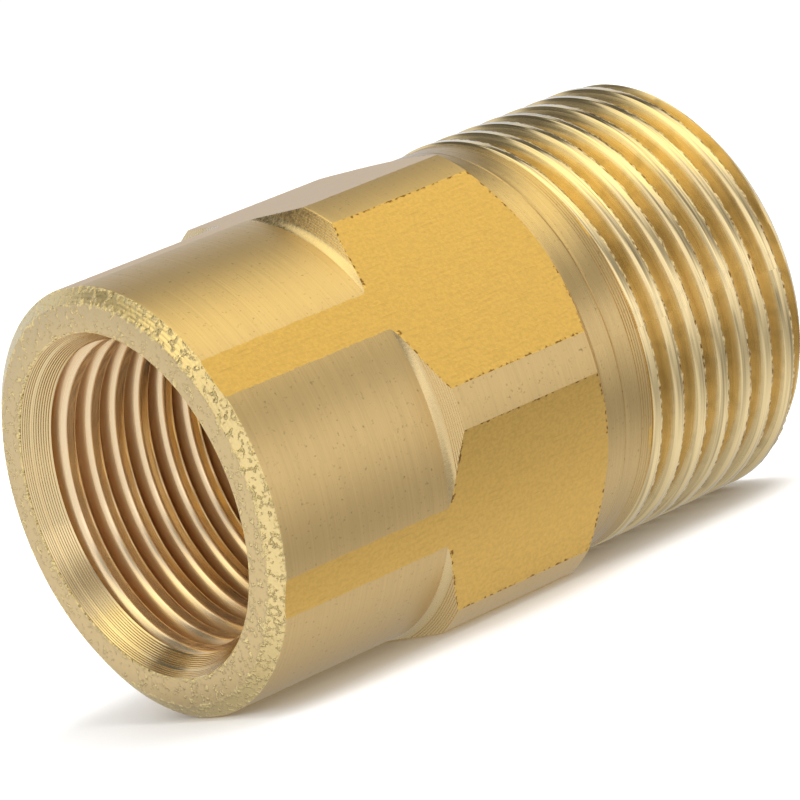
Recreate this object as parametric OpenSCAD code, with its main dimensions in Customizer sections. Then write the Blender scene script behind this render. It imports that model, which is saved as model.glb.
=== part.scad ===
// Reducing adapter for pipework: a hexagonal brass fitting turned from one piece.
// One end is a barrel with a 1/2 inch parallel pipe thread inside, the other end
// carries a 3/4 inch parallel pipe thread outside, and a passage runs right through.
// The fitting lies on a flat of its hexagon: X is the thread axis, +X is the male end,
// +Z is up, and the origin is the middle of the fitting on its axis.

/* [Overall] */
// Length from the face of the barrel to the end of the male thread
total_len = 41.8; // [41:0.1:46]
// Bore of the plain passage behind the female thread
passage_d = 16; // [12:0.5:17]

/* [Hexagon] */
// Width across the flats
hex_af = 26; // [25.8:0.1:26.1]
// Diameter that the six corners are turned down to
hex_corner_d = 28.7; // [28:0.1:29.6]
// Distance from the barrel's face to the far end of the hexagon
hex_end = 25.1; // [24:0.1:26]
// Angle of the chamfer on the hexagon's far end, from the axis
hex_chamfer_angle = 48; // [40:1:55]

/* [Barrel] */
// Outside diameter of the round barrel, a little over the flats
barrel_d = 26.13; // [26.12:0.01:26.4]
// Distance from the barrel's face to the foot of the shoulder
barrel_len = 12.95; // [11:0.05:14]
// Axial length of the shoulder between barrel and corners
shoulder_len = 0.65; // [0.4:0.05:1.5]
// Radius of the fillet at the foot of the shoulder
shoulder_fillet = 0.6; // [0.3:0.1:1]
// Outside diameter of the flat ring on the barrel's face
face_d = 24.4; // [23:0.1:25]
// Axial length of the chamfer round the face
face_chamfer_len = 0.64; // [0.3:0.02:1]

/* [Female thread] */
// Diameter across the thread's roots (1/2 inch parallel pipe thread)
female_root_d = 20.955; // [20.9:0.005:21]
// Diameter across the thread's crests
female_crest_d = 18.631; // [18.6:0.001:18.7]
// Depth from the face to the end of the plain bore behind the thread
female_depth = 18.4; // [14:0.1:19]
// Length of the plain bore at crest diameter behind the thread
female_relief_len = 2.2; // [1.5:0.1:3]
// Diameter of the countersink at the face
countersink_d = 21; // [20.5:0.1:22]
// Half of the countersink's included angle
countersink_half_angle = 30; // [28:1:45]

/* [Male thread] */
// Diameter across the thread's crests (3/4 inch parallel pipe thread)
male_crest_d = 26.3; // [26.1:0.05:26.45]
// Diameter across the thread's roots
male_root_d = 24.117; // [24.1:0.001:24.2]
// Diameter of the plain neck between hexagon and thread
neck_d = 25.9; // [25.6:0.1:26]
// Axial length of the plain neck
neck_len = 3; // [2:0.1:4]
// Distance from the hexagon to the tool line round the neck
neck_line_at = 1.5; // [1:0.1:2]
// Axial length of the chamfer on the end of the thread
end_chamfer_len = 1.1; // [0.8:0.1:1.5]

/* [Hidden] */

$fn = 96;
threads_per_inch = 14;
pitch = 25.4 / threads_per_inch;
segments = 36;           // flat steps in one turn of a thread
crest_share = 0.18;      // width of a ridge's crest, as a share of the pitch
shoulder_share = 0.32;   // width of a ridge where its crest starts to round over
shoulder_height = 0.86;  // height at which it does so, as a share of the depth
base_share = 0.88;       // width of a ridge's foot, as a share of the pitch
embed = 0.06;            // how far a ridge's foot is sunk in the body
male_start_angle = 64;   // angle round the axis at which the male ridge starts
female_start_angle = 22; // angle round the axis at which the female ridge starts
land_len = 0.35;         // narrow land between the countersink and the first turn
overshoot = 1;        // how far a cutter runs past the face that it cuts
line_depth = 0.12;    // depth of the tool line round the neck
edge_break = 0.4;     // chamfer on the passage's edge at the male end

barrel_r = barrel_d / 2;
corner_r = hex_corner_d / 2;
neck_r = neck_d / 2;
neck_end = hex_end + neck_len;
shoulder_top = barrel_len + shoulder_len;
countersink_len = (countersink_d - female_crest_d) / 2 / tan(countersink_half_angle);
thread_start = countersink_len + land_len;
thread_end = female_depth - female_relief_len;
drill_point_len = (female_crest_d - passage_d) / 2 / tan(59);
hex_chamfer_len = (corner_r - hex_af / 2) / tan(hex_chamfer_angle);

// The fillet runs from the barrel into the shoulder's cone.
shoulder_angle = atan2(corner_r - barrel_r, shoulder_len);
fillet_back = shoulder_fillet * tan(shoulder_angle / 2);
fillet_steps = 6;
fillet = [
    for (i = [0 : fillet_steps])
        let (a = shoulder_angle * i / fillet_steps)
            [
                barrel_r + shoulder_fillet * (1 - cos(a)),
                barrel_len - fillet_back + shoulder_fillet * sin(a)
            ]
];

// Turns a shape that was made round Z, from the barrel's face up, into its place.
module lay_down() {
    translate([-total_len / 2, 0, 0]) rotate([0, 90, 0]) children();
}

module barrel_and_hexagon() {
    intersection() {
        rotate_extrude() polygon(concat(
            [[0, 0], [face_d / 2, 0], [barrel_r, face_chamfer_len]],
            fillet,
            [
                [corner_r, shoulder_top],
                [corner_r, hex_end - hex_chamfer_len],
                [hex_af / 2, hex_end],
                [0, hex_end]
            ]
        ));
        rotate([0, 0, 30]) cylinder(d = hex_af / cos(30), h = hex_end + overshoot, $fn = 6);
    }
}

module neck_and_core() {
    rotate_extrude() polygon([
        [0, hex_end - overshoot],
        [neck_r, hex_end - overshoot],
        [neck_r, hex_end + neck_line_at - line_depth],
        [neck_r - line_depth, hex_end + neck_line_at],
        [neck_r, hex_end + neck_line_at + line_depth],
        [neck_r, neck_end],
        [male_root_d / 2, neck_end + (neck_r - male_root_d / 2) / 2],
        [male_root_d / 2, total_len],
        [0, total_len]
    ]);
}

module waterway() {
    rotate_extrude() polygon([
        [0, -overshoot],
        [countersink_d / 2 + overshoot * tan(countersink_half_angle), -overshoot],
        [female_crest_d / 2, countersink_len],
        [female_crest_d / 2, thread_start],
        [female_root_d / 2, thread_start],
        [female_root_d / 2, thread_end],
        [female_crest_d / 2, thread_end],
        [female_crest_d / 2, female_depth],
        [passage_d / 2, female_depth + drill_point_len],
        [passage_d / 2, total_len - edge_break],
        [passage_d / 2 + edge_break + overshoot, total_len + overshoot],
        [0, total_len + overshoot]
    ]);
}

// The turned and bored blank: barrel, hexagon, neck and the core under the male thread.
module body() {
    color("#dcb060") lay_down() difference() {
        union() {
            barrel_and_hexagon();
            neck_and_core();
        }
        waterway();
    }
}

// A ridge's section: axial offset in pitches, and height from 0 at the foot to 1 at the crest.
ridge_section = [
    [-base_share / 2, 0],
    [-shoulder_share / 2, shoulder_height],
    [-crest_share / 2, 1],
    [crest_share / 2, 1],
    [shoulder_share / 2, shoulder_height],
    [base_share / 2, 0]
];

// A right-hand helical ridge wound round Z, its foot at foot_r and its crest at crest_r.
// The middle of the ridge starts at one height and climbs to the other.
module ridge(foot_r, crest_r, from, to, start_angle) {
    outward = crest_r > foot_r;
    depth = crest_r - foot_r;
    sunk = outward ? -embed : embed;
    steps = ceil((to - from) / pitch * segments);
    count = len(ridge_section);
    points = [
        for (s = [0 : steps], p = ridge_section)
            let (
                angle = start_angle + 360 * s / segments,
                r = p[1] == 0 ? foot_r + sunk : foot_r + depth * p[1]
            )
                [r * cos(angle), r * sin(angle), from + pitch * (s / segments + p[0])]
    ];
    sides = [
        for (s = [0 : steps - 1], i = [0 : count - 1])
            let (
                a = s * count + i,
                b = s * count + (i + 1) % count,
                c = a + count,
                d = b + count
            )
                each outward ? [[a, c, b], [b, c, d]] : [[a, b, c], [b, d, c]]
    ];
    first_end = [for (i = [0 : count - 1]) outward ? i : count - 1 - i];
    last_end = [for (i = [0 : count - 1]) steps * count + (outward ? count - 1 - i : i)];
    polyhedron(points, concat([first_end], sides, [last_end]), convexity = 10);
}

// The helical ridge of the outside thread, cut off at the neck and by the end chamfer.
module male_thread() {
    reach = male_crest_d / 2 + overshoot;
    chamfer_start = total_len - end_chamfer_len;
    color("#e3b765") lay_down() intersection() {
        ridge(
            male_root_d / 2, male_crest_d / 2,
            neck_end - pitch, total_len + pitch, male_start_angle
        );
        rotate_extrude() polygon([
            [male_root_d / 2 - 2 * embed, neck_end],
            [reach, neck_end],
            [reach, chamfer_start - overshoot],
            [male_crest_d / 2, chamfer_start],
            [male_root_d / 2, total_len],
            [male_root_d / 2 - 2 * embed, total_len]
        ]);
    }
}

// The helical ridge of the inside thread, between the narrow land at the countersink
// and the plain bore.
module female_thread() {
    color("#b98a4a") lay_down() intersection() {
        ridge(
            female_root_d / 2, female_crest_d / 2,
            thread_start - pitch, thread_end + pitch, female_start_angle
        );
        translate([0, 0, thread_start])
            cylinder(r = female_root_d / 2 + 2 * embed, h = thread_end - thread_start);
    }
}

body();
male_thread();
female_thread();
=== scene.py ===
"""Visual model of a turned brass pipe adapter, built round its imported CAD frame.

X is the thread axis with the male end at +X, +Z is up, and the fitting lies on one flat
of its hexagon. Sizes along the axis are given from the face of the barrel.
"""

import math
import random

import bpy
from bpy.props import FloatProperty, FloatVectorProperty, PointerProperty
from bpy.types import Operator, Panel, PropertyGroup
from mathutils import Matrix, Vector, noise


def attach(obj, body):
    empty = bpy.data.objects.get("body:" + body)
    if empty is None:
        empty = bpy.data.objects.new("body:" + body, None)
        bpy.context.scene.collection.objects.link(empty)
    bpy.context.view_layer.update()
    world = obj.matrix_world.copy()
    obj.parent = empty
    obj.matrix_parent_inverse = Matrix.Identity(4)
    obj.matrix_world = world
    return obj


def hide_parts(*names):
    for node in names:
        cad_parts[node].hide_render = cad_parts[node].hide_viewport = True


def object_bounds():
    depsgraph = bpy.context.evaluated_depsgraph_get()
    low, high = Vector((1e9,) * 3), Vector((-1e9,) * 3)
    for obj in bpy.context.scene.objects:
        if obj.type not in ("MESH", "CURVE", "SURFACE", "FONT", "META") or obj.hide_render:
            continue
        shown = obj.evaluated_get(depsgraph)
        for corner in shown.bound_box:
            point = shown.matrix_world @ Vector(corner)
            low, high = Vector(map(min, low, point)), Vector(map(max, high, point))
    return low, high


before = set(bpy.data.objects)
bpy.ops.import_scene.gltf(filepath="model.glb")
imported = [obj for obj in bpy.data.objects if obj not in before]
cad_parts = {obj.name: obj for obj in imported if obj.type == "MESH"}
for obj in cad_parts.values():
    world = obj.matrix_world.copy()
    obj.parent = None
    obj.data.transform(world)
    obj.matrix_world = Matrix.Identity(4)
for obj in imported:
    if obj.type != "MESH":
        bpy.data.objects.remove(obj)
CAD_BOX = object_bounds()

bl_info = {
    "name": "Brass Pipe Adapter",
    "version": (1, 0, 0),
    "blender": (4, 5, 0),
    "location": "3D View > Sidebar > Adapter",
    "description": "Models a turned brass adapter with a hexagon, an inside and an outside thread",
    "category": "Add Mesh",
}

MM = 0.001
MOUTH_X, END_X = CAD_BOX[0][0], CAD_BOX[1][0]
LENGTH = (END_X - MOUTH_X) / MM
FLOOR_Z = CAD_BOX[0][2]
PITCH = 25.4 / 14  # 14 turns to the inch, on both threads
SIDES = 240  # flat steps round everything that is turned
TURN_STEPS = 240  # steps in one turn of a thread
FLAT_ANGLES = [30, 90, 150, 210, 270, 330]  # directions that the hexagon's flats face
SHOULDER_ANGLE, CHAMFER_ANGLE = 61, 48  # slopes at the hexagon's two ends, from the axis
MALE_TOP = 28.54  # mm from the face to the first outside turn, on top of the fitting
FEMALE_TOP = 1.38  # the same for the inside thread
MALE_FOOT, FEMALE_FOOT = 28.1, 0.9  # mm from the face to where each thread's ridge is cut off
END_RADIUS = 12.0  # mm, radius of the outside thread at its very end
FLANK_LEAN = 27.5  # degrees between a thread's flank and a plane across the axis
DRAWN_FLAT = 1  # place of the flats' finish in the blank's list of finishes
HEADING, HEIGHT, LEAN = -35.2, 7.2, 18.1  # camera: degrees round Z, above level, and tilted
LENS, DISTANCE = 228.8, 0.3015  # camera: focal length in mm, metres from the aim


# ---------------------------------------------------------------- sizes and colours


def length_property(name, description, default_mm):
    """A length for the panel, from its size in millimetres."""
    return FloatProperty(
        name=name, description=description, default=default_mm * MM,
        min=0.0, subtype="DISTANCE", unit="LENGTH", precision=5,
    )


def linear(hex_colour):
    """An sRGB hex colour as linear red, green, blue and full alpha."""
    parts = [int(hex_colour[i : i + 2], 16) / 255 for i in (1, 3, 5)]
    return [c / 12.92 if c <= 0.04045 else ((c + 0.055) / 1.055) ** 2.4 for c in parts] + [1.0]


def colour_property(name, description, hex_colour):
    """A colour for the panel, from its sRGB hex value."""
    return FloatVectorProperty(
        name=name, description=description, default=linear(hex_colour),
        size=4, min=0.0, max=1.0, subtype="COLOR",
    )


class AdapterBlankSizes(PropertyGroup):
    """Sizes of the turned blank, before and after the threads are cut."""

    across_flats: length_property("Across flats", "Width of the hexagon across its flats", 26.0)
    corner_radius: length_property("Corner radius", "Radius the hexagon's corners are turned to", 14.35)
    barrel_radius: length_property("Barrel radius", "Outside radius of the round barrel", 13.065)
    face_radius: length_property("Face radius", "Outside radius of the ring on the mouth's face", 12.2)
    mouth_radius: length_property("Mouth radius", "Radius of the countersink at the face", 10.5)
    shoulder_at: length_property("Shoulder", "Distance from the face to the shoulder's foot", 12.95)
    hexagon_end: length_property("Hexagon end", "Distance from the face to the hexagon's far end", 25.1)
    neck_radius: length_property("Neck radius", "Radius of the plain neck", 12.95)
    neck_end: length_property("Neck end", "Distance from the face to the thread's first root", 28.6)
    passage_radius: length_property("Passage radius", "Radius of the plain passage", 8.0)


class AdapterThreadSizes(PropertyGroup):
    """Sizes of the two threads."""

    male_crest: length_property("Male crest", "Radius across the outside thread's crests", 13.11)
    male_root: length_property("Male root", "Radius across the outside thread's roots", 12.06)
    female_crest: length_property("Female crest", "Radius across the inside thread's crests", 9.3155)
    female_root: length_property("Female root", "Radius across the inside thread's roots", 10.478)
    female_end: length_property("Female end", "Distance from the face to the last inside turn", 16.2)


class AdapterColours(PropertyGroup):
    """Colours of the brass as each tool left it; the crest and crumbs colours are partly painted
    highlight, and the tapped root colour is painted shade.
    """

    turned: colour_property("Turned", "Brass turned with a fine feed", "#e0c085")
    drawn: colour_property("Drawn", "Brass as drawn, on the hexagon's flats", "#e7bc66")
    faced: colour_property("Faced", "Brass faced and chamfered with a form tool", "#e3c893")
    bored: colour_property("Bored", "Brass cut inside the mouth", "#efd6a4")
    tapped: colour_property("Tapped", "Brass on the inside thread", "#f6dcb4")
    # painted shade: the inside thread's colour darkens towards this one between its turns
    tapped_root_shade: colour_property("Tapped root", "Brass deep between the inside turns", "#d6a257")
    chamfer: colour_property("Chamfer", "Brass on the face's chamfer and the shoulder", "#f6dc9e")
    flank: colour_property("Flank", "Brass on the flanks of the outside thread", "#efd59e")
    # partly painted highlight: the crests' pale colour stands in for part of their highlight
    crest: colour_property("Crest", "Brass on the crests of the outside thread", "#f9e0aa")
    burr: colour_property("Burr", "Torn brass along the cut edges", "#8a6530")
    # partly painted highlight: the crumbs' pale colour is torn metal and stands in for their highlights
    # too
    crumbs: colour_property("Crumbs", "Bright crumbs along the face's edges", "#fbe2a2")
    floor: colour_property("Floor", "Studio floor", "#ffffff")


# ---------------------------------------------------------------- modelling helpers


def mm(size):
    """A size of the scene in millimetres."""
    return size / MM


def at(along_mm, radius_mm):
    """A point of a section line, in the half plane above the axis."""
    return Vector((MOUTH_X + along_mm * MM, 0.0, radius_mm * MM))


def draw_section(name, points, closed=False):
    """Extrudes one vertex from point to point, and leaves the line in edit mode."""
    bpy.ops.object.select_all(action="DESELECT")
    bpy.ops.mesh.primitive_plane_add(size=MM)
    piece = bpy.context.object
    piece.name = piece.data.name = name
    bpy.ops.object.mode_set(mode="EDIT")
    bpy.ops.mesh.select_mode(type="VERT")
    bpy.ops.mesh.select_all(action="SELECT")
    bpy.ops.mesh.merge(type="CENTER")
    bpy.ops.transform.translate(value=points[0])
    for here, there in zip(points, points[1:]):
        bpy.ops.mesh.extrude_region_move(TRANSFORM_OT_translate={"value": there - here})
    if closed:
        bpy.ops.object.mode_set(mode="OBJECT")
        last = len(piece.data.vertices) - 1
        for v in piece.data.vertices:
            v.select = v.index in (0, last)
        bpy.ops.object.mode_set(mode="EDIT")
        bpy.ops.mesh.edge_face_add()
    return piece


def spin_round(piece):
    """Spins the section in edit mode once round the axis and closes the seam."""
    bpy.ops.mesh.select_all(action="SELECT")
    bpy.ops.mesh.spin(steps=SIDES, angle=math.tau, center=(0, 0, 0), axis=(1, 0, 0))
    bpy.ops.mesh.select_all(action="SELECT")
    bpy.ops.mesh.remove_doubles(threshold=0.0002 * MM)
    bpy.ops.mesh.normals_make_consistent(inside=False)


def slice_off(point, outward):
    """Cuts away what lies beyond a plane and closes the cut."""
    bpy.ops.mesh.select_all(action="SELECT")
    bpy.ops.mesh.bisect(
        plane_co=point, plane_no=outward, use_fill=True, clear_outer=True, threshold=1e-7
    )


def lies_on_flat(centre, normal, half_across):
    """Whether a face is one of the hexagon's flats."""
    for degrees in FLAT_ANGLES:
        a = math.radians(degrees)
        way = Vector((0, math.cos(a), math.sin(a)))
        if normal.dot(way) > 0.99999 and abs(centre.dot(way) - half_across) < 0.002 * MM:
            return True
    return False


def finish_piece(piece, node_name, smooth_degrees=35):
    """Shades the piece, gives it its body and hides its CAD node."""
    bpy.ops.object.mode_set(mode="OBJECT")
    bpy.ops.object.shade_smooth_by_angle(angle=math.radians(smooth_degrees))
    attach(piece, "root")
    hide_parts(node_name)


# ---------------------------------------------------------------- materials


def add(tree, kind, inputs=None, out=0, **settings):
    """Adds a node with its settings, fills or links its inputs, and returns one output."""
    made = tree.nodes.new(kind)
    for key, value in settings.items():
        setattr(made, key, value)
    for key, value in (inputs or {}).items():
        if isinstance(value, bpy.types.NodeSocket):
            tree.links.new(value, made.inputs[key])
        else:
            made.inputs[key].default_value = value
    return None if out is None else made.outputs[out]


def new_material(name):
    """An empty material and its node tree."""
    material = bpy.data.materials.new(name)
    material.use_nodes = True
    material.node_tree.nodes.clear()
    return material, material.node_tree


def round_the_axis(tree):
    """Millimetres from the mouth along the axis, turns round it, millimetres from it."""
    place = add(tree, "ShaderNodeTexCoord", out="Object")
    x = add(tree, "ShaderNodeSeparateXYZ", {0: place}, out=0)
    y = add(tree, "ShaderNodeSeparateXYZ", {0: place}, out=1)
    z = add(tree, "ShaderNodeSeparateXYZ", {0: place}, out=2)
    along = add(
        tree, "ShaderNodeMath", {0: x, 1: 1 / MM, 2: -MOUTH_X / MM}, operation="MULTIPLY_ADD"
    )
    angle = add(tree, "ShaderNodeMath", {0: z, 1: y}, operation="ARCTAN2")
    turns = add(tree, "ShaderNodeMath", {0: angle, 1: math.tau}, operation="DIVIDE")
    across = add(tree, "ShaderNodeCombineXYZ", {1: y, 2: z})
    metres = add(tree, "ShaderNodeVectorMath", {0: across}, out="Value", operation="LENGTH")
    radius = add(tree, "ShaderNodeMath", {0: metres, 1: 1 / MM}, operation="MULTIPLY")
    return along, turns, radius, place


def ring_noise(tree, along, turns, per_mm, per_turn, detail):
    """Noise drawn out into rings: so many grains to the millimetre, and to the turn."""
    x = add(tree, "ShaderNodeMath", {0: along, 1: per_mm}, operation="MULTIPLY")
    y = add(tree, "ShaderNodeMath", {0: turns, 1: per_turn}, operation="MULTIPLY")
    where = add(tree, "ShaderNodeCombineXYZ", {0: x, 1: y})
    return add(
        tree, "ShaderNodeTexNoise",
        {"Vector": where, "Scale": 1.0, "Detail": detail, "Roughness": 0.6},
    )


def blend(tree, pattern, low, high, under, over):
    """The colour goes from under to over as the pattern rises from low to high."""
    share = add(tree, "ShaderNodeMapRange", {0: pattern, 1: low, 2: high})
    return add(tree, "ShaderNodeMix", {0: share, 6: under, 7: over}, out=2, data_type="RGBA")


def bare_brass(tree, colour, sheen, smoothest, roughest, height, height_mm, metal=1.0):
    """A metal whose colour is its reflection, with tool marks in its sheen and as bump."""
    rough = add(tree, "ShaderNodeMapRange", {0: sheen, 1: 0.3, 2: 0.7, 3: smoothest, 4: roughest})
    bump = add(
        tree, "ShaderNodeBump", {"Height": height, "Distance": height_mm * MM, "Strength": 1.0}
    )
    shader = add(
        tree, "ShaderNodeBsdfPrincipled",
        {"Base Color": colour, "Metallic": metal, "Roughness": rough, "Normal": bump},
    )
    add(tree, "ShaderNodeOutputMaterial", {"Surface": shader}, out=None)


def darker(colour, share):
    """The colour at a share of its brightness."""
    return [c * share for c in colour[:3]] + [1.0]


def turned_brass(name, colour, smoothest, roughest):
    """Free-cutting brass turned with a fine feed: rings 0.1 to 0.2 mm apart, satin."""
    material, tree = new_material(name)
    along, turns, _, place = round_the_axis(tree)
    rings = ring_noise(tree, along, turns, 7.0, 3.0, 4.0)
    fine = ring_noise(tree, along, turns, 26.0, 9.0, 2.0)
    specks = add(tree, "ShaderNodeTexNoise", {"Vector": place, "Scale": 4.5 / MM, "Detail": 2.0})
    base = blend(tree, rings, 0.3, 0.7, darker(colour, 0.9), list(colour))
    base = blend(tree, specks, 0.64, 0.9, base, darker(colour, 0.3))
    height = add(tree, "ShaderNodeMath", {0: rings, 1: fine}, operation="ADD")
    bare_brass(tree, base, fine, smoothest, roughest, height, 0.012)
    return material


def drawn_brass(colour, torn, sizes):
    """Hexagon bar as drawn through its die: golden, streaked along the bar, torn at its edges."""
    material, tree = new_material("drawn_brass")
    along, turns, radius, place = round_the_axis(tree)
    streaks = ring_noise(tree, along, turns, 0.7, 420.0, 4.0)
    mottle = add(tree, "ShaderNodeTexNoise", {"Vector": place, "Scale": 4.6 / MM, "Detail": 5.0})
    crumbs = add(tree, "ShaderNodeTexNoise", {"Vector": place, "Scale": 3.0 / MM, "Detail": 2.0})
    base = blend(tree, mottle, 0.38, 0.62, darker(colour, 0.88), list(colour))
    base = blend(tree, streaks, 0.55, 0.85, base, darker(colour, 0.75))
    height = add(tree, "ShaderNodeMath", {0: mottle, 1: streaks}, operation="ADD")

    # millimetres to the nearest cut edge: the flat's sides, the shoulder or the far chamfer
    corner, flat = mm(sizes.corner_radius), mm(sizes.across_flats) / 2
    half_side = math.sqrt(corner**2 - flat**2)
    to_side = add(
        tree, "ShaderNodeMath",
        {0: radius, 1: -corner / half_side, 2: corner**2 / half_side}, operation="MULTIPLY_ADD",
    )
    lean = 1 / math.tan(math.radians(SHOULDER_ANGLE))
    foot = mm(sizes.shoulder_at) - mm(sizes.barrel_radius) * lean
    slope = add(tree, "ShaderNodeMath", {0: radius, 1: -lean, 2: -foot}, operation="MULTIPLY_ADD")
    to_shoulder = add(tree, "ShaderNodeMath", {0: along, 1: slope}, operation="ADD")
    lean = 1 / math.tan(math.radians(CHAMFER_ANGLE))
    tip = mm(sizes.hexagon_end) + flat * lean
    slope = add(tree, "ShaderNodeMath", {0: radius, 1: -lean, 2: tip}, operation="MULTIPLY_ADD")
    to_chamfer = add(tree, "ShaderNodeMath", {0: slope, 1: along}, operation="SUBTRACT")
    nearest = add(tree, "ShaderNodeMath", {0: to_side, 1: to_chamfer}, operation="MINIMUM")
    nearest = add(tree, "ShaderNodeMath", {0: nearest, 1: to_shoulder}, operation="MINIMUM")
    # the strips that the flats leave along the barrel have no torn edges
    behind = add(
        tree, "ShaderNodeMath", {0: along, 1: mm(sizes.shoulder_at) - 0.4}, operation="LESS_THAN"
    )
    low = add(
        tree, "ShaderNodeMath", {0: radius, 1: mm(sizes.barrel_radius) + 0.03},
        operation="LESS_THAN",
    )
    on_barrel = add(tree, "ShaderNodeMath", {0: behind, 1: low}, operation="MAXIMUM")
    nearest = add(
        tree, "ShaderNodeMath", {0: on_barrel, 1: 2 * corner, 2: nearest}, operation="MULTIPLY_ADD"
    )
    ragged = add(tree, "ShaderNodeMath", {0: crumbs, 1: 0.5, 2: nearest}, operation="MULTIPLY_ADD")
    metal = blend(tree, crumbs, 0.4, 0.55, list(torn), darker(colour, 1.1))
    base = blend(tree, ragged, 0.27, 0.36, metal, base)
    bare_brass(tree, base, mottle, 0.3, 0.42, height, 0.008)
    return material


def faced_brass(name, colour, torn, edges, grain_mm, smoothest):
    """Brass cut by a form tool that chattered: matte, with crumbs thrown up at its edges whose pale
    colour is partly painted highlight.
    """
    material, tree = new_material(name)
    _, _, radius, place = round_the_axis(tree)
    grain = add(tree, "ShaderNodeTexNoise", {"Vector": place, "Scale": 5.5 / MM, "Detail": 4.0})
    crumbs = add(tree, "ShaderNodeTexNoise", {"Vector": place, "Scale": 2.8 / MM, "Detail": 3.0})
    base = blend(tree, grain, 0.35, 0.6, darker(colour, 0.93), list(colour))
    base = blend(tree, grain, 0.72, 0.8, base, darker(colour, 0.5))
    height = grain
    for edge, reach in edges:
        far = add(tree, "ShaderNodeMath", {0: radius, 1: edge}, operation="SUBTRACT")
        far = add(tree, "ShaderNodeMath", {0: far}, operation="ABSOLUTE")
        near = add(tree, "ShaderNodeMapRange", {0: far, 1: 0.0, 2: reach, 3: 0.13, 4: 0.0})
        heap = add(tree, "ShaderNodeMath", {0: crumbs, 1: near}, operation="ADD")
        # partly painted highlight: crumbs near each edge take the pale crumbs colour
        base = blend(tree, heap, 0.62, 0.66, base, list(torn))
        pits = add(tree, "ShaderNodeMath", {0: near, 1: crumbs}, operation="SUBTRACT")
        base = blend(tree, pits, -0.22, -0.16, base, darker(colour, 0.4))
        raised = add(tree, "ShaderNodeMapRange", {0: heap, 1: 0.55, 2: 0.7, 3: 0.0, 4: 5.0})
        height = add(tree, "ShaderNodeMath", {0: height, 1: raised}, operation="ADD")
    bare_brass(tree, base, grain, smoothest, smoothest + 0.15, height, grain_mm)
    return material


def bored_brass(colour):
    """Brass bored inside the mouth: bright, with fine rings."""
    material, tree = new_material("bored_brass")
    along, turns, _, _ = round_the_axis(tree)
    rings = ring_noise(tree, along, turns, 6.0, 3.0, 3.0)
    base = blend(tree, rings, 0.3, 0.7, darker(colour, 0.85), list(colour))
    bare_brass(tree, base, rings, 0.12, 0.22, rings, 0.006)
    return material


def tapped_brass(colour, root_shade_colour, crest_mm):
    """Brass cut by a tap: polished crests, duller roots that still hold some cutting oil, and painted
    shade that darkens the colour towards the roots.
    """
    material, tree = new_material("tapped_brass")
    along, turns, radius, _ = round_the_axis(tree)
    lead = add(tree, "ShaderNodeMath", {0: turns, 1: -PITCH, 2: along}, operation="MULTIPLY_ADD")
    drag = ring_noise(tree, lead, turns, 5.0, 5.0, 3.0)
    # painted shade: the colour darkens from the crests down towards the roots
    base = blend(tree, radius, crest_mm + 0.1, crest_mm + 0.9, list(colour), list(root_shade_colour))
    base = blend(tree, drag, 0.3, 0.7, base, list(colour))
    sheen = add(
        tree, "ShaderNodeMapRange", {0: radius, 1: crest_mm, 2: crest_mm + 0.7, 3: 0.3, 4: 0.7}
    )
    bare_brass(tree, base, sheen, 0.16, 0.45, drag, 0.006, 0.9)
    return material


def flank_brass(colour):
    """Brass sheared by the threading tool: smooth and golden, with faint drag lines."""
    material, tree = new_material("threaded_flank_brass")
    along, turns, _, place = round_the_axis(tree)
    lead = add(tree, "ShaderNodeMath", {0: turns, 1: -PITCH, 2: along}, operation="MULTIPLY_ADD")
    drag = ring_noise(tree, lead, turns, 5.0, 5.0, 3.0)
    blotch = add(tree, "ShaderNodeTexNoise", {"Vector": place, "Scale": 0.9 / MM, "Detail": 2.0})
    base = blend(tree, drag, 0.3, 0.65, darker(colour, 0.8), list(colour))
    base = blend(tree, blotch, 0.5, 1.0, base, darker(colour, 0.6))
    bare_brass(tree, base, drag, 0.2, 0.32, drag, 0.018)
    return material


def crest_brass_and_highlight(colour):
    """Crests left from turning: polished, with sharp lines 0.1 mm apart; their pale colour is partly
    painted highlight.
    """
    material, tree = new_material("threaded_crest_brass_and_highlight")
    along, turns, _, _ = round_the_axis(tree)
    lead = add(tree, "ShaderNodeMath", {0: turns, 1: -PITCH, 2: along}, operation="MULTIPLY_ADD")
    drag = ring_noise(tree, lead, turns, 5.5, 6.0, 2.0)
    base = blend(tree, drag, 0.32, 0.52, darker(colour, 0.55), list(colour))
    bare_brass(tree, base, drag, 0.1, 0.2, drag, 0.014)
    return material


def burred_brass(colour, bright):
    """Torn metal where the threading tool broke out: dark pits between bright crumbs."""
    material, tree = new_material("burred_brass")
    place = add(tree, "ShaderNodeTexCoord", out="Object")
    crumbs = add(tree, "ShaderNodeTexNoise", {"Vector": place, "Scale": 3.2 / MM, "Detail": 3.0})
    # the bright crumbs take the crests' colour, which is partly painted highlight
    base = blend(tree, crumbs, 0.35, 0.6, list(colour), list(bright))
    bare_brass(tree, base, crumbs, 0.25, 0.45, crumbs, 0.05)
    return material


def floor_finish(colour):
    """Pale painted studio floor, a little uneven so that it isn't a mirror."""
    material, tree = new_material("pale_floor_paint")
    place = add(tree, "ShaderNodeTexCoord", out="Object")
    cloud = add(tree, "ShaderNodeTexNoise", {"Vector": place, "Scale": 3.0, "Detail": 2.0})
    base = blend(tree, cloud, 0.0, 1.0, darker(colour, 0.99), list(colour))
    shader = add(tree, "ShaderNodeBsdfPrincipled", {"Base Color": base, "Roughness": 0.8})
    add(tree, "ShaderNodeOutputMaterial", {"Surface": shader}, out=None)
    return material


# ---------------------------------------------------------------- sections


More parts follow.
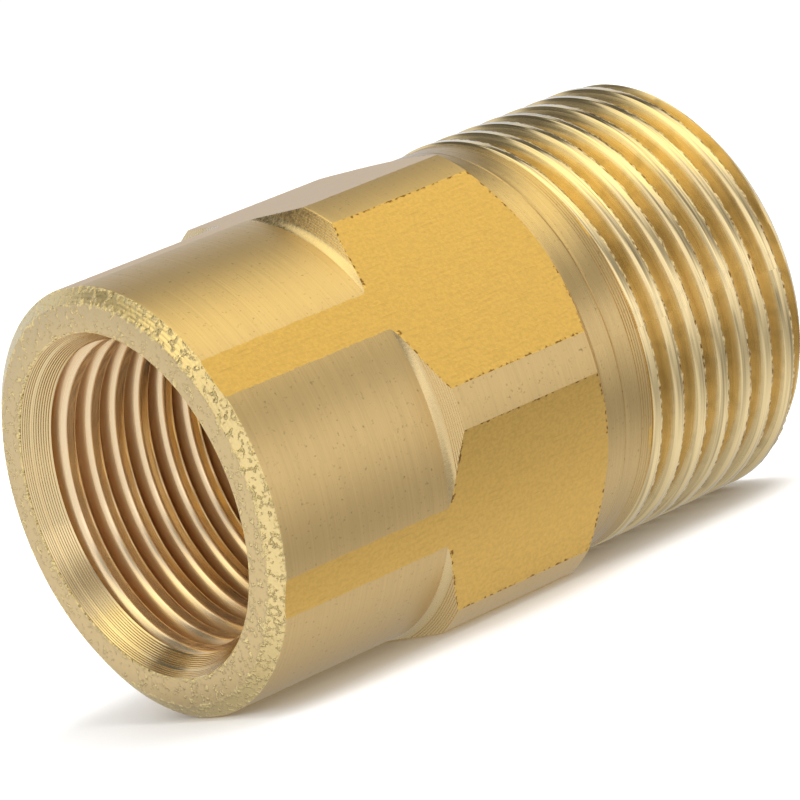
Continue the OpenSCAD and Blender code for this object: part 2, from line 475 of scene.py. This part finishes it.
def tool_rings(start, end, radius, spacing, depth, seed):
    """Points along a turned cylinder whose rings differ a little in radius."""
    steps = max(2, round((end - start) / spacing))
    draw = random.Random(seed)
    return [
        (start + (end - start) * i / steps, radius + depth * (draw.random() * 2 - 1))
        for i in range(1, steps)
    ]


def tool_lines(start, end, count, depth):
    """Points along a straight slope, from start to end, with shallow V grooves in it."""
    (x0, r0), (x1, r1) = start, end
    run, rise = x1 - x0, r1 - r0
    size = math.hypot(run, rise)
    inward = (rise / size, -run / size)
    points = []
    for i in range(count):
        for share, sink in ((0.5, 0.0), (0.7, depth), (0.9, 0.0)):
            t = (i + share) / count
            points.append((x0 + run * t + inward[0] * sink, r0 + rise * t + inward[1] * sink))
    return points


def blank_section(s, t):
    """The whole section of the blank, from the mouth outside to the end and back inside."""
    corner, barrel, flat = mm(s.corner_radius), mm(s.barrel_radius), mm(s.across_flats) / 2
    neck, neck_end, hexagon_end = mm(s.neck_radius), mm(s.neck_end), mm(s.hexagon_end)
    face, mouth, shoulder = mm(s.face_radius), mm(s.mouth_radius), mm(s.shoulder_at)
    root = mm(t.male_root)
    inner_root, inner_crest, inner_end = mm(t.female_root), mm(t.female_crest), mm(t.female_end)
    passage = mm(s.passage_radius)

    rim = 0.62  # how far the face's chamfer runs back
    outside = [(0.0, mouth + 0.06), (0.0, face - 0.08), (0.03, face)]
    outside += tool_lines((0.03, face), (rim, barrel - 0.03), 4, 0.012)
    outside += [(rim, barrel - 0.03), (0.70, barrel)]
    outside += tool_rings(0.72, shoulder - 0.42, barrel, 0.13, 0.004, 3)
    slope = math.radians(SHOULDER_ANGLE)
    fillet = 0.6
    back = fillet * math.tan(slope / 2)
    outside += [
        (
            shoulder - back + fillet * math.sin(slope * i / 8),
            barrel + fillet * (1 - math.cos(slope * i / 8)),
        )
        for i in range(9)
    ]
    top = shoulder + (corner - barrel) / math.tan(slope)
    outside += tool_lines(outside[-1], (top, corner), 8, 0.03)
    outside += [(top, corner - 0.02), (top + 0.03, corner)]
    chamfer_start = hexagon_end - (corner - flat) / math.tan(math.radians(CHAMFER_ANGLE))
    outside += tool_rings(top + 0.05, chamfer_start, corner - 0.004, 0.13, 0.004, 5)
    outside += [(chamfer_start, corner)]
    outside += tool_lines((chamfer_start, corner), (hexagon_end, flat), 5, 0.02)
    outside += [(hexagon_end, flat), (hexagon_end, neck + 0.01), (hexagon_end + 0.03, neck)]
    line = hexagon_end + 1.45  # a scored line round the neck
    outside += tool_rings(hexagon_end + 0.05, line - 0.08, neck, 0.13, 0.004, 7)
    outside += [(line - 0.06, neck), (line, neck - 0.09), (line + 0.06, neck - 0.02)]
    coarse = 27.7  # deeper lines start here and run to the thread
    outside += tool_rings(line + 0.08, coarse, neck - 0.05, 0.13, 0.006, 9)
    outside += tool_lines((coarse + 0.05, neck - 0.04), (neck_end - 0.05, neck + 0.09), 5, 0.035)
    outside += [(neck_end, neck + 0.05), (neck_end + 0.2, root + 0.12)]
    outside += [(neck_end + 0.3, root), (LENGTH - 1.2, root), (LENGTH - 0.04, root)]
    outside += [(LENGTH, root - 0.06), (LENGTH, passage + 0.4), (LENGTH - 0.4, passage)]
    drilled = inner_end + 2.2  # the tapping drill went this deep, and its tip left a cone
    inside = [
        (drilled + (inner_crest - passage) / math.tan(math.radians(59)), passage),
        (drilled, inner_crest),
        (inner_end, inner_crest),
        (inner_end, inner_root),
        (2.05, inner_root),
        (1.85, 10.0),
        (1.63, 9.57),
    ]
    # the countersink, in two cuts with a small step between them
    inside += tool_lines((1.6, 9.59), (0.72, 10.08), 7, 0.016)
    inside += [(0.70, 10.09), (0.66, 10.15), (0.62, 10.13)]
    inside += tool_lines((0.60, 10.15), (0.06, mouth - 0.03), 5, 0.016)
    return [at(x, r) for x, r in outside + inside]


def ridge_section(foot, crest, flat_half, crest_round, root_round, flank_round):
    """A thread ridge's closed section round x = 0: 55 degree flanks and rounded corners."""
    side = 1 if crest > foot else -1
    depth = abs(crest - foot)
    swing = math.radians(90 - FLANK_LEAN)
    span = depth - (crest_round + root_round) * (1 - math.cos(swing))
    bulge = math.asin(min(0.9, span / math.sin(swing) / 2 / flank_round))
    half = [(0.0, 0.0), (flat_half * 0.6, 0.0)]
    for i in range(5):
        a = (swing - bulge) * i / 4
        half.append((flat_half + crest_round * math.sin(a), crest_round * (1 - math.cos(a))))
    x0, d0 = half[-1]
    for i in range(1, 6):
        a = swing - bulge + 2 * bulge * i / 5
        half.append(
            (
                x0 + flank_round * (math.sin(a) - math.sin(swing - bulge)),
                d0 + flank_round * (math.cos(swing - bulge) - math.cos(a)),
            )
        )
    half = [(x, d) for x, d in half if d < depth - root_round * 0.5]
    x1, d1 = half[-1]
    foot_half = PITCH / 2 - 0.012  # just narrower than the pitch, so that turns don't overlap
    for i in range(1, 5):
        share = i / 4
        half.append(
            (x1 + (foot_half - x1) * share, d1 + (depth - d1) * (1 - (1 - share) ** 2))
        )
    line = [(-x, crest - side * d) for x, d in reversed(half)] + [
        (x, crest - side * d) for x, d in half[1:]
    ]
    sink = foot - side * 0.25
    return [(line[0][0] + 0.1, sink)] + line + [(line[-1][0] - 0.1, sink)]


# ---------------------------------------------------------------- operators


class ADAPTER_OT_blank(Operator):
    """Turn the blank, cut the hexagon's flats and bore it through"""

    bl_idname = "adapter.blank"
    bl_label = "Turned Blank"

    def execute(self, context):
        s, tints = context.scene.adapter_blank, context.scene.adapter_colours
        points = blank_section(s, context.scene.adapter_threads)
        piece = draw_section("adapter_body", points + [points[0]])
        spin_round(piece)
        half_across = s.across_flats / 2
        for degrees in FLAT_ANGLES:
            a = math.radians(degrees)
            way = Vector((0, math.cos(a), math.sin(a)))
            slice_off(way * half_across, way)
        bpy.ops.object.mode_set(mode="OBJECT")
        mouth_r, shoulder = mm(s.mouth_radius), mm(s.shoulder_at)
        edges = [(mouth_r, 0.3), (mm(s.face_radius), 0.3), (mm(s.barrel_radius), 0.25)]
        for finish in (
            turned_brass("turned_brass", tints.turned, 0.34, 0.46),
            drawn_brass(tints.drawn, tints.burr, s),
            faced_brass("faced_brass", tints.faced, tints.crumbs, edges, 0.009, 0.34),
            bored_brass(tints.bored),
            faced_brass("chamfered_brass", tints.chamfer, tints.crumbs, edges, 0.014, 0.26),
            turned_brass("turned_brass_neck", darker(tints.turned, 0.9), 0.24, 0.4),
            faced_brass("shoulder_brass", tints.faced, tints.crumbs, [], 0.008, 0.18),
        ):
            piece.data.materials.append(finish)
        faced, bored, chamfered, necked, shouldered = range(2, 7)  # places in that list
        flats = 0
        for face in piece.data.polygons:
            along = (face.center.x - MOUTH_X) / MM
            radius = math.hypot(face.center.y, face.center.z) / MM
            if lies_on_flat(face.center, face.normal, half_across):
                face.material_index = DRAWN_FLAT
                flats += 1
            elif radius < mouth_r - 0.02:
                face.material_index = bored
            elif along < 0.02:
                face.material_index = faced
            elif shoulder - 0.3 < along < shoulder + 0.75:
                face.material_index = shouldered
            elif along < 0.7:
                face.material_index = chamfered
            elif along > mm(s.hexagon_end):
                face.material_index = necked
        if flats < len(FLAT_ANGLES):
            raise RuntimeError(f"only {flats} flats were cut")
        square_up(piece, half_across, math.ceil(mm(s.hexagon_end)))
        finish_piece(piece, "body")
        for index in flat_edges(piece.data):
            piece.data.edges[index].use_edge_sharp = True
        return {"FINISHED"}


def square_up(piece, half_across, end_mm):
    """Sets the flats' points exactly on their planes and cuts each flat every millimetre."""
    for degrees in FLAT_ANGLES:
        way = Vector((0, math.cos(math.radians(degrees)), math.sin(math.radians(degrees))))
        for face in piece.data.polygons:
            if face.material_index == DRAWN_FLAT and face.normal.dot(way) > 0.99999:
                for index in face.vertices:
                    v = piece.data.vertices[index]
                    v.co += way * (half_across - v.co.dot(way))
    bpy.ops.object.mode_set(mode="EDIT")
    bpy.ops.mesh.select_mode(type="FACE")
    bpy.ops.object.mode_set(mode="OBJECT")
    for step in range(1, end_mm):
        for face in piece.data.polygons:
            face.select = face.material_index == DRAWN_FLAT
        bpy.ops.object.mode_set(mode="EDIT")
        bpy.ops.mesh.bisect(plane_co=at(step, 0), plane_no=(1, 0, 0), threshold=1e-7)
        bpy.ops.object.mode_set(mode="OBJECT")


def flat_edges(mesh):
    """Edges between a flat and any other finish."""
    users = {}
    for face in mesh.polygons:
        for key in face.edge_keys:
            users.setdefault(key, set()).add(face.material_index == DRAWN_FLAT)
    return [e.index for e in mesh.edges if len(users.get(e.key, ())) == 2]


def wind(piece, turns, start_degrees):
    """Winds the section in edit mode into a right-hand helix and closes its two ends."""
    bpy.ops.object.mode_set(mode="OBJECT")
    helix = piece.modifiers.new("helix", "SCREW")
    helix.axis = "X"
    helix.angle = math.tau
    helix.screw_offset = PITCH * MM
    helix.iterations = turns
    helix.steps = helix.render_steps = TURN_STEPS
    helix.use_smooth_shade = False
    bpy.ops.object.modifier_apply(modifier=helix.name)
    piece.data.transform(Matrix.Rotation(math.radians(start_degrees), 4, "X"))
    bpy.ops.object.mode_set(mode="EDIT")
    bpy.ops.mesh.select_mode(type="EDGE")
    bpy.ops.mesh.select_all(action="DESELECT")
    bpy.ops.mesh.select_non_manifold(
        extend=False, use_wire=False, use_boundary=True,
        use_multi_face=False, use_non_contiguous=False, use_verts=False,
    )
    bpy.ops.mesh.edge_face_add()
    bpy.ops.mesh.select_all(action="SELECT")
    bpy.ops.mesh.normals_make_consistent(inside=False)


def across_ridge(place, top):
    """Millimetres from the middle of the nearest turn, along the axis."""
    along = (place.x - MOUTH_X) / MM
    turns = math.atan2(place.z, place.y) / math.tau - 0.25
    return (along - top - PITCH * turns + PITCH / 2) % PITCH - PITCH / 2


class ADAPTER_OT_male_thread(Operator):
    """Wind the outside thread's ridge and cut its end chamfer"""

    bl_idname = "adapter.male_thread"
    bl_label = "Outside Thread"

    def execute(self, context):
        t, tints = context.scene.adapter_threads, context.scene.adapter_colours
        foot, crest = mm(t.male_root), mm(t.male_crest)
        start = MALE_TOP - PITCH
        section = ridge_section(foot, crest, 0.21, 0.09, 0.35, 4.0)
        piece = draw_section(
            "outside_thread", [at(start + x, r) for x, r in section], closed=True
        )
        turns = math.ceil((LENGTH + 1.0 - start) / PITCH)
        wind(piece, turns, 0.0)
        slice_off(at(MALE_FOOT, 0), (-1, 0, 0))
        slice_off(at(LENGTH - 0.05, 0), (1, 0, 0))
        bpy.ops.object.mode_set(mode="OBJECT")
        for v in piece.data.vertices:
            along = (v.co.x - MOUTH_X) / MM
            radius = math.hypot(v.co.y, v.co.z) / MM
            limit = END_RADIUS + (LENGTH - along)
            across = across_ridge(v.co, MALE_TOP)
            if radius > crest - 0.16 and 0.15 < across < 0.4:
                torn = noise.noise(v.co / (0.35 * MM))
                v.co.x = min(v.co.x + 0.14 * torn * MM, END_X - 0.05 * MM)
                limit = min(limit, radius - 0.09 * abs(noise.noise(v.co / (0.25 * MM))))
            if radius > limit:
                v.co.y *= limit / radius
                v.co.z *= limit / radius
        for finish in (
            flank_brass(tints.flank), crest_brass_and_highlight(tints.crest),
            burred_brass(tints.burr, tints.crest),
        ):
            piece.data.materials.append(finish)
        crested, burred = 1, 2  # places in that list
        for face in piece.data.polygons:
            across = across_ridge(face.center, MALE_TOP)
            radius = math.hypot(face.center.y, face.center.z) / MM
            if radius > crest - 0.12:
                face.material_index = burred if 0.13 < across < 0.4 else crested
        finish_piece(piece, "male_thread")
        return {"FINISHED"}


class ADAPTER_OT_female_thread(Operator):
    """Wind the inside thread's ridge, from the countersink to the plain bore"""

    bl_idname = "adapter.female_thread"
    bl_label = "Inside Thread"

    def execute(self, context):
        t, tints = context.scene.adapter_threads, context.scene.adapter_colours
        foot, crest = mm(t.female_root), mm(t.female_crest)
        section = ridge_section(foot, crest, 0.16, 0.32, 0.12, 2.6)
        start = FEMALE_TOP - PITCH
        piece = draw_section(
            "inside_thread", [at(start + x, r) for x, r in section], closed=True
        )
        end = mm(t.female_end)
        turns = math.ceil((end + 1.0 - start) / PITCH)
        wind(piece, turns, 0.0)
        slice_off(at(FEMALE_FOOT, 0), (-1, 0, 0))
        slice_off(at(end, 0), (1, 0, 0))
        bpy.ops.object.mode_set(mode="OBJECT")
        for v in piece.data.vertices:
            radius = math.hypot(v.co.y, v.co.z) / MM
            along = (v.co.x - MOUTH_X) / MM
            cone = foot + 0.05 - (along - 0.05) * math.tan(math.radians(30))
            if radius < cone:
                v.co.y *= cone / radius
                v.co.z *= cone / radius
        piece.data.materials.append(tapped_brass(tints.tapped, tints.tapped_root_shade, crest))
        finish_piece(piece, "female_thread", 60)
        return {"FINISHED"}


def camera_turn(azimuth, elevation, roll):
    """The camera's rotation for a heading round Z, a height above level and a lean."""
    a, e = math.radians(azimuth), math.radians(elevation)
    ahead = Vector((-math.sin(a) * math.cos(e), math.cos(a) * math.cos(e), -math.sin(e)))
    right = ahead.cross(Vector((0, 0, 1))).normalized()
    up = right.cross(ahead)
    lean = Matrix.Rotation(math.radians(roll), 3, ahead)
    right, up = lean @ right, lean @ up
    return Matrix((right, up, -ahead)).transposed(), ahead


def soft_light(name, direction, distance, size, power):
    """A white softbox that faces the fitting."""
    light = bpy.data.lights.new(name, "AREA")
    light.shape = "RECTANGLE"
    light.size, light.size_y = size
    light.energy = power
    lamp = bpy.data.objects.new(name, light)
    bpy.context.scene.collection.objects.link(lamp)
    way = Vector(direction).normalized()
    lamp.location = way * distance
    lamp.rotation_euler = (-way).to_track_quat("-Z", "Y").to_euler()
    lamp.visible_camera = False
    return lamp


# Brightness by the angle round the fitting, as (degrees, brightness): of the light tent, from
# behind over the top to the front, and of the table under it, from the front to behind.
TENT_GLOW = [
    (-60, 0.55), (-20, 0.85), (10, 0.87), (25, 0.78), (47, 0.8), (51, 0.12), (73, 0.12),
    (77, 0.95), (87, 1.1), (96, 1.35), (105, 1.58), (114, 1.6), (122, 1.25), (130, 1.0), (140, 0.72),
    (146, 0.44), (158, 0.36), (166, 0.62), (173, 1.02), (180, 1.25),
]
TABLE_GLOW = [
    (-179, 1.25), (-170, 1.0), (-158, 0.62), (-151, 0.44), (-147, 0.45), (-142, 0.62),
    (-137, 0.74), (-131, 0.86), (-126, 0.8), (-121, 0.7), (-114, 0.58), (-106, 0.48),
    (-90, 0.4), (-70, 0.34), (-40, 0.6), (-15, 0.95), (0, 1.0),
]
PAST_MOUTH_GLOW = 0.95  # brightness of the table beyond the mouth
COOL_BELOW, COOL = 30, (0.88, 1.0, 1.3)  # the tent's far side is lit by cooler light
WARM_FROM, WARM_TO, WARM = 80, 124, (1.04, 1.0, 0.74)  # and its top by warmer light
SLANT = 24  # degrees by which the tent's stripes sink between the next two places along it
SLANT_FROM, SLANT_TO = 440.0, -760.0  # mm from the mouth's face


def glow_finish(name, glow, slant=0.0, past_mouth=None):
    """A lit sheet whose brightness changes with the angle round the fitting's axis."""
    material, tree = new_material(name)
    along, turns, _, _ = round_the_axis(tree)
    sunk = add(
        tree, "ShaderNodeMapRange", {0: along, 1: SLANT_TO, 2: SLANT_FROM, 3: slant / 360, 4: 0.0}
    )
    turned = add(tree, "ShaderNodeMath", {0: turns, 1: sunk}, operation="ADD")
    share = add(tree, "ShaderNodeMapRange", {0: turned, 1: -0.5, 2: 0.5})
    ramp = tree.nodes.new("ShaderNodeValToRGB")
    tree.links.new(share, ramp.inputs[0])
    stops = ramp.color_ramp.elements
    top = max(value for degrees, value in glow)
    for i, (degrees, value) in enumerate(glow):
        where = degrees / 360 + 0.5
        stop = stops[0] if i == 0 else stops.new(where)
        if i == 1:
            stops.remove(stops[-1])  # the second of the two stops that a new ramp has
        stop.position = where
        tint = (1.0, 1.0, 1.0)
        if slant and degrees < COOL_BELOW:
            tint = COOL
        elif slant and WARM_FROM < degrees < WARM_TO:
            tint = WARM
        stop.color = [value / top * part for part in tint] + [1.0]
    lit = ramp.outputs[0]
    if past_mouth:
        lit = blend(tree, along, -8.0, 0.0, [past_mouth / top] * 3 + [1.0], lit)
    light = add(tree, "ShaderNodeEmission", {"Color": lit, "Strength": top})
    add(tree, "ShaderNodeOutputMaterial", {"Surface": light}, out=None)
    return material


def only_in_reflections(sheet):
    """The brass mirrors the sheet, and nothing else sees it."""
    sheet.visible_camera = sheet.visible_diffuse = sheet.visible_shadow = False


class ADAPTER_OT_stage(Operator):
    """Set the camera, the pale floor and the studio light"""

    bl_idname = "adapter.stage"
    bl_label = "Stage"

    def execute(self, context):
        scene = context.scene
        turn, ahead = camera_turn(HEADING, HEIGHT, LEAN)
        lens = bpy.data.cameras.new("camera")
        lens.lens, lens.sensor_width, lens.clip_end = LENS, 36.0, 100.0
        camera = bpy.data.objects.new("camera", lens)
        scene.collection.objects.link(camera)
        aim = Vector((-0.0008, -0.0001, -0.0004))
        camera.matrix_world = Matrix.Translation(aim - ahead * DISTANCE) @ turn.to_4x4()
        scene.camera = camera

        bpy.ops.object.select_all(action="DESELECT")
        bpy.ops.mesh.primitive_circle_add(
            vertices=96, radius=1.5, fill_type="NGON", location=(0, 0, FLOOR_Z)
        )
        floor = context.object
        floor.name = "floor"
        bpy.ops.object.mode_set(mode="EDIT")
        bpy.ops.mesh.select_mode(type="EDGE")
        for i in range(8):  # the floor's rim curls up into a low wall
            rise = math.radians(10 * (i + 1))
            bpy.ops.mesh.select_all(action="DESELECT")
            bpy.ops.mesh.select_non_manifold(use_wire=False, use_verts=False)
            bpy.ops.mesh.extrude_edges_move(
                TRANSFORM_OT_translate={"value": (0, 0, 0.16 * math.sin(rise))}
            )
            grow = 1 + 0.1 * math.cos(rise)
            bpy.ops.transform.resize(value=(grow, grow, 1), center_override=(0, 0, 0))
        bpy.ops.object.mode_set(mode="OBJECT")
        bpy.ops.object.transform_apply(location=True, rotation=True, scale=True)
        bpy.ops.object.shade_smooth()
        floor.data.materials.append(floor_finish(scene.adapter_colours.floor))
        floor.visible_glossy = False

        bpy.ops.mesh.primitive_circle_add(
            vertices=64, radius=2.2, fill_type="NGON", location=(0, 0, FLOOR_Z)
        )
        table = context.object
        table.name = "table_reflection"
        bpy.ops.object.transform_apply(location=True, rotation=True, scale=True)
        table.data.materials.append(glow_finish("table_glow", TABLE_GLOW, 0.0, PAST_MOUTH_GLOW))
        only_in_reflections(table)

        bpy.ops.mesh.primitive_cylinder_add(
            vertices=180, radius=0.6, depth=6.4, end_fill_type="NOTHING",
            location=(2.0, 0, 0), rotation=(0, math.radians(90), 0),
        )
        tent = context.object
        tent.name = "light_tent"
        bpy.ops.object.transform_apply(location=True, rotation=True, scale=True)
        tent.data.materials.append(glow_finish("tent_glow", TENT_GLOW, SLANT))
        only_in_reflections(tent)

        world = bpy.data.worlds.new("studio")
        scene.world = world
        world.use_nodes = True
        world.node_tree.nodes["Background"].inputs[0].default_value = (1, 1, 1, 1)
        world.node_tree.nodes["Background"].inputs[1].default_value = 1.0
        lamp = soft_light("overhead_softbox", (0.2, -0.35, 1.0), 0.7, (0.5, 0.4), 4.0)
        lamp.visible_glossy = False
        scene.view_settings.view_transform = "Standard"
        return {"FINISHED"}


class ADAPTER_PT_panel(Panel):
    """Sizes, colours and steps of the adapter"""

    bl_idname = "ADAPTER_PT_panel"
    bl_label = "Brass Pipe Adapter"
    bl_space_type = "VIEW_3D"
    bl_region_type = "UI"
    bl_category = "Adapter"

    def draw(self, context):
        for group in ("adapter_blank", "adapter_threads", "adapter_colours"):
            settings = getattr(context.scene, group)
            box = self.layout.box()
            for name in settings.__annotations__:
                box.prop(settings, name)
        for step in STEPS:
            self.layout.operator(step.bl_idname)


GROUPS = {
    "adapter_blank": AdapterBlankSizes,
    "adapter_threads": AdapterThreadSizes,
    "adapter_colours": AdapterColours,
}
STEPS = (ADAPTER_OT_blank, ADAPTER_OT_male_thread, ADAPTER_OT_female_thread, ADAPTER_OT_stage)


def register():
    for cls in (*GROUPS.values(), *STEPS, ADAPTER_PT_panel):
        bpy.utils.register_class(cls)
    for name, group in GROUPS.items():
        setattr(bpy.types.Scene, name, PointerProperty(type=group))


def unregister():
    for name in GROUPS:
        delattr(bpy.types.Scene, name)
    for cls in reversed((*GROUPS.values(), *STEPS, ADAPTER_PT_panel)):
        bpy.utils.unregister_class(cls)


def main():
    register()
    bpy.ops.adapter.blank()
    bpy.ops.adapter.male_thread()
    bpy.ops.adapter.female_thread()
    bpy.ops.adapter.stage()


if __name__ == "__main__":
    main()
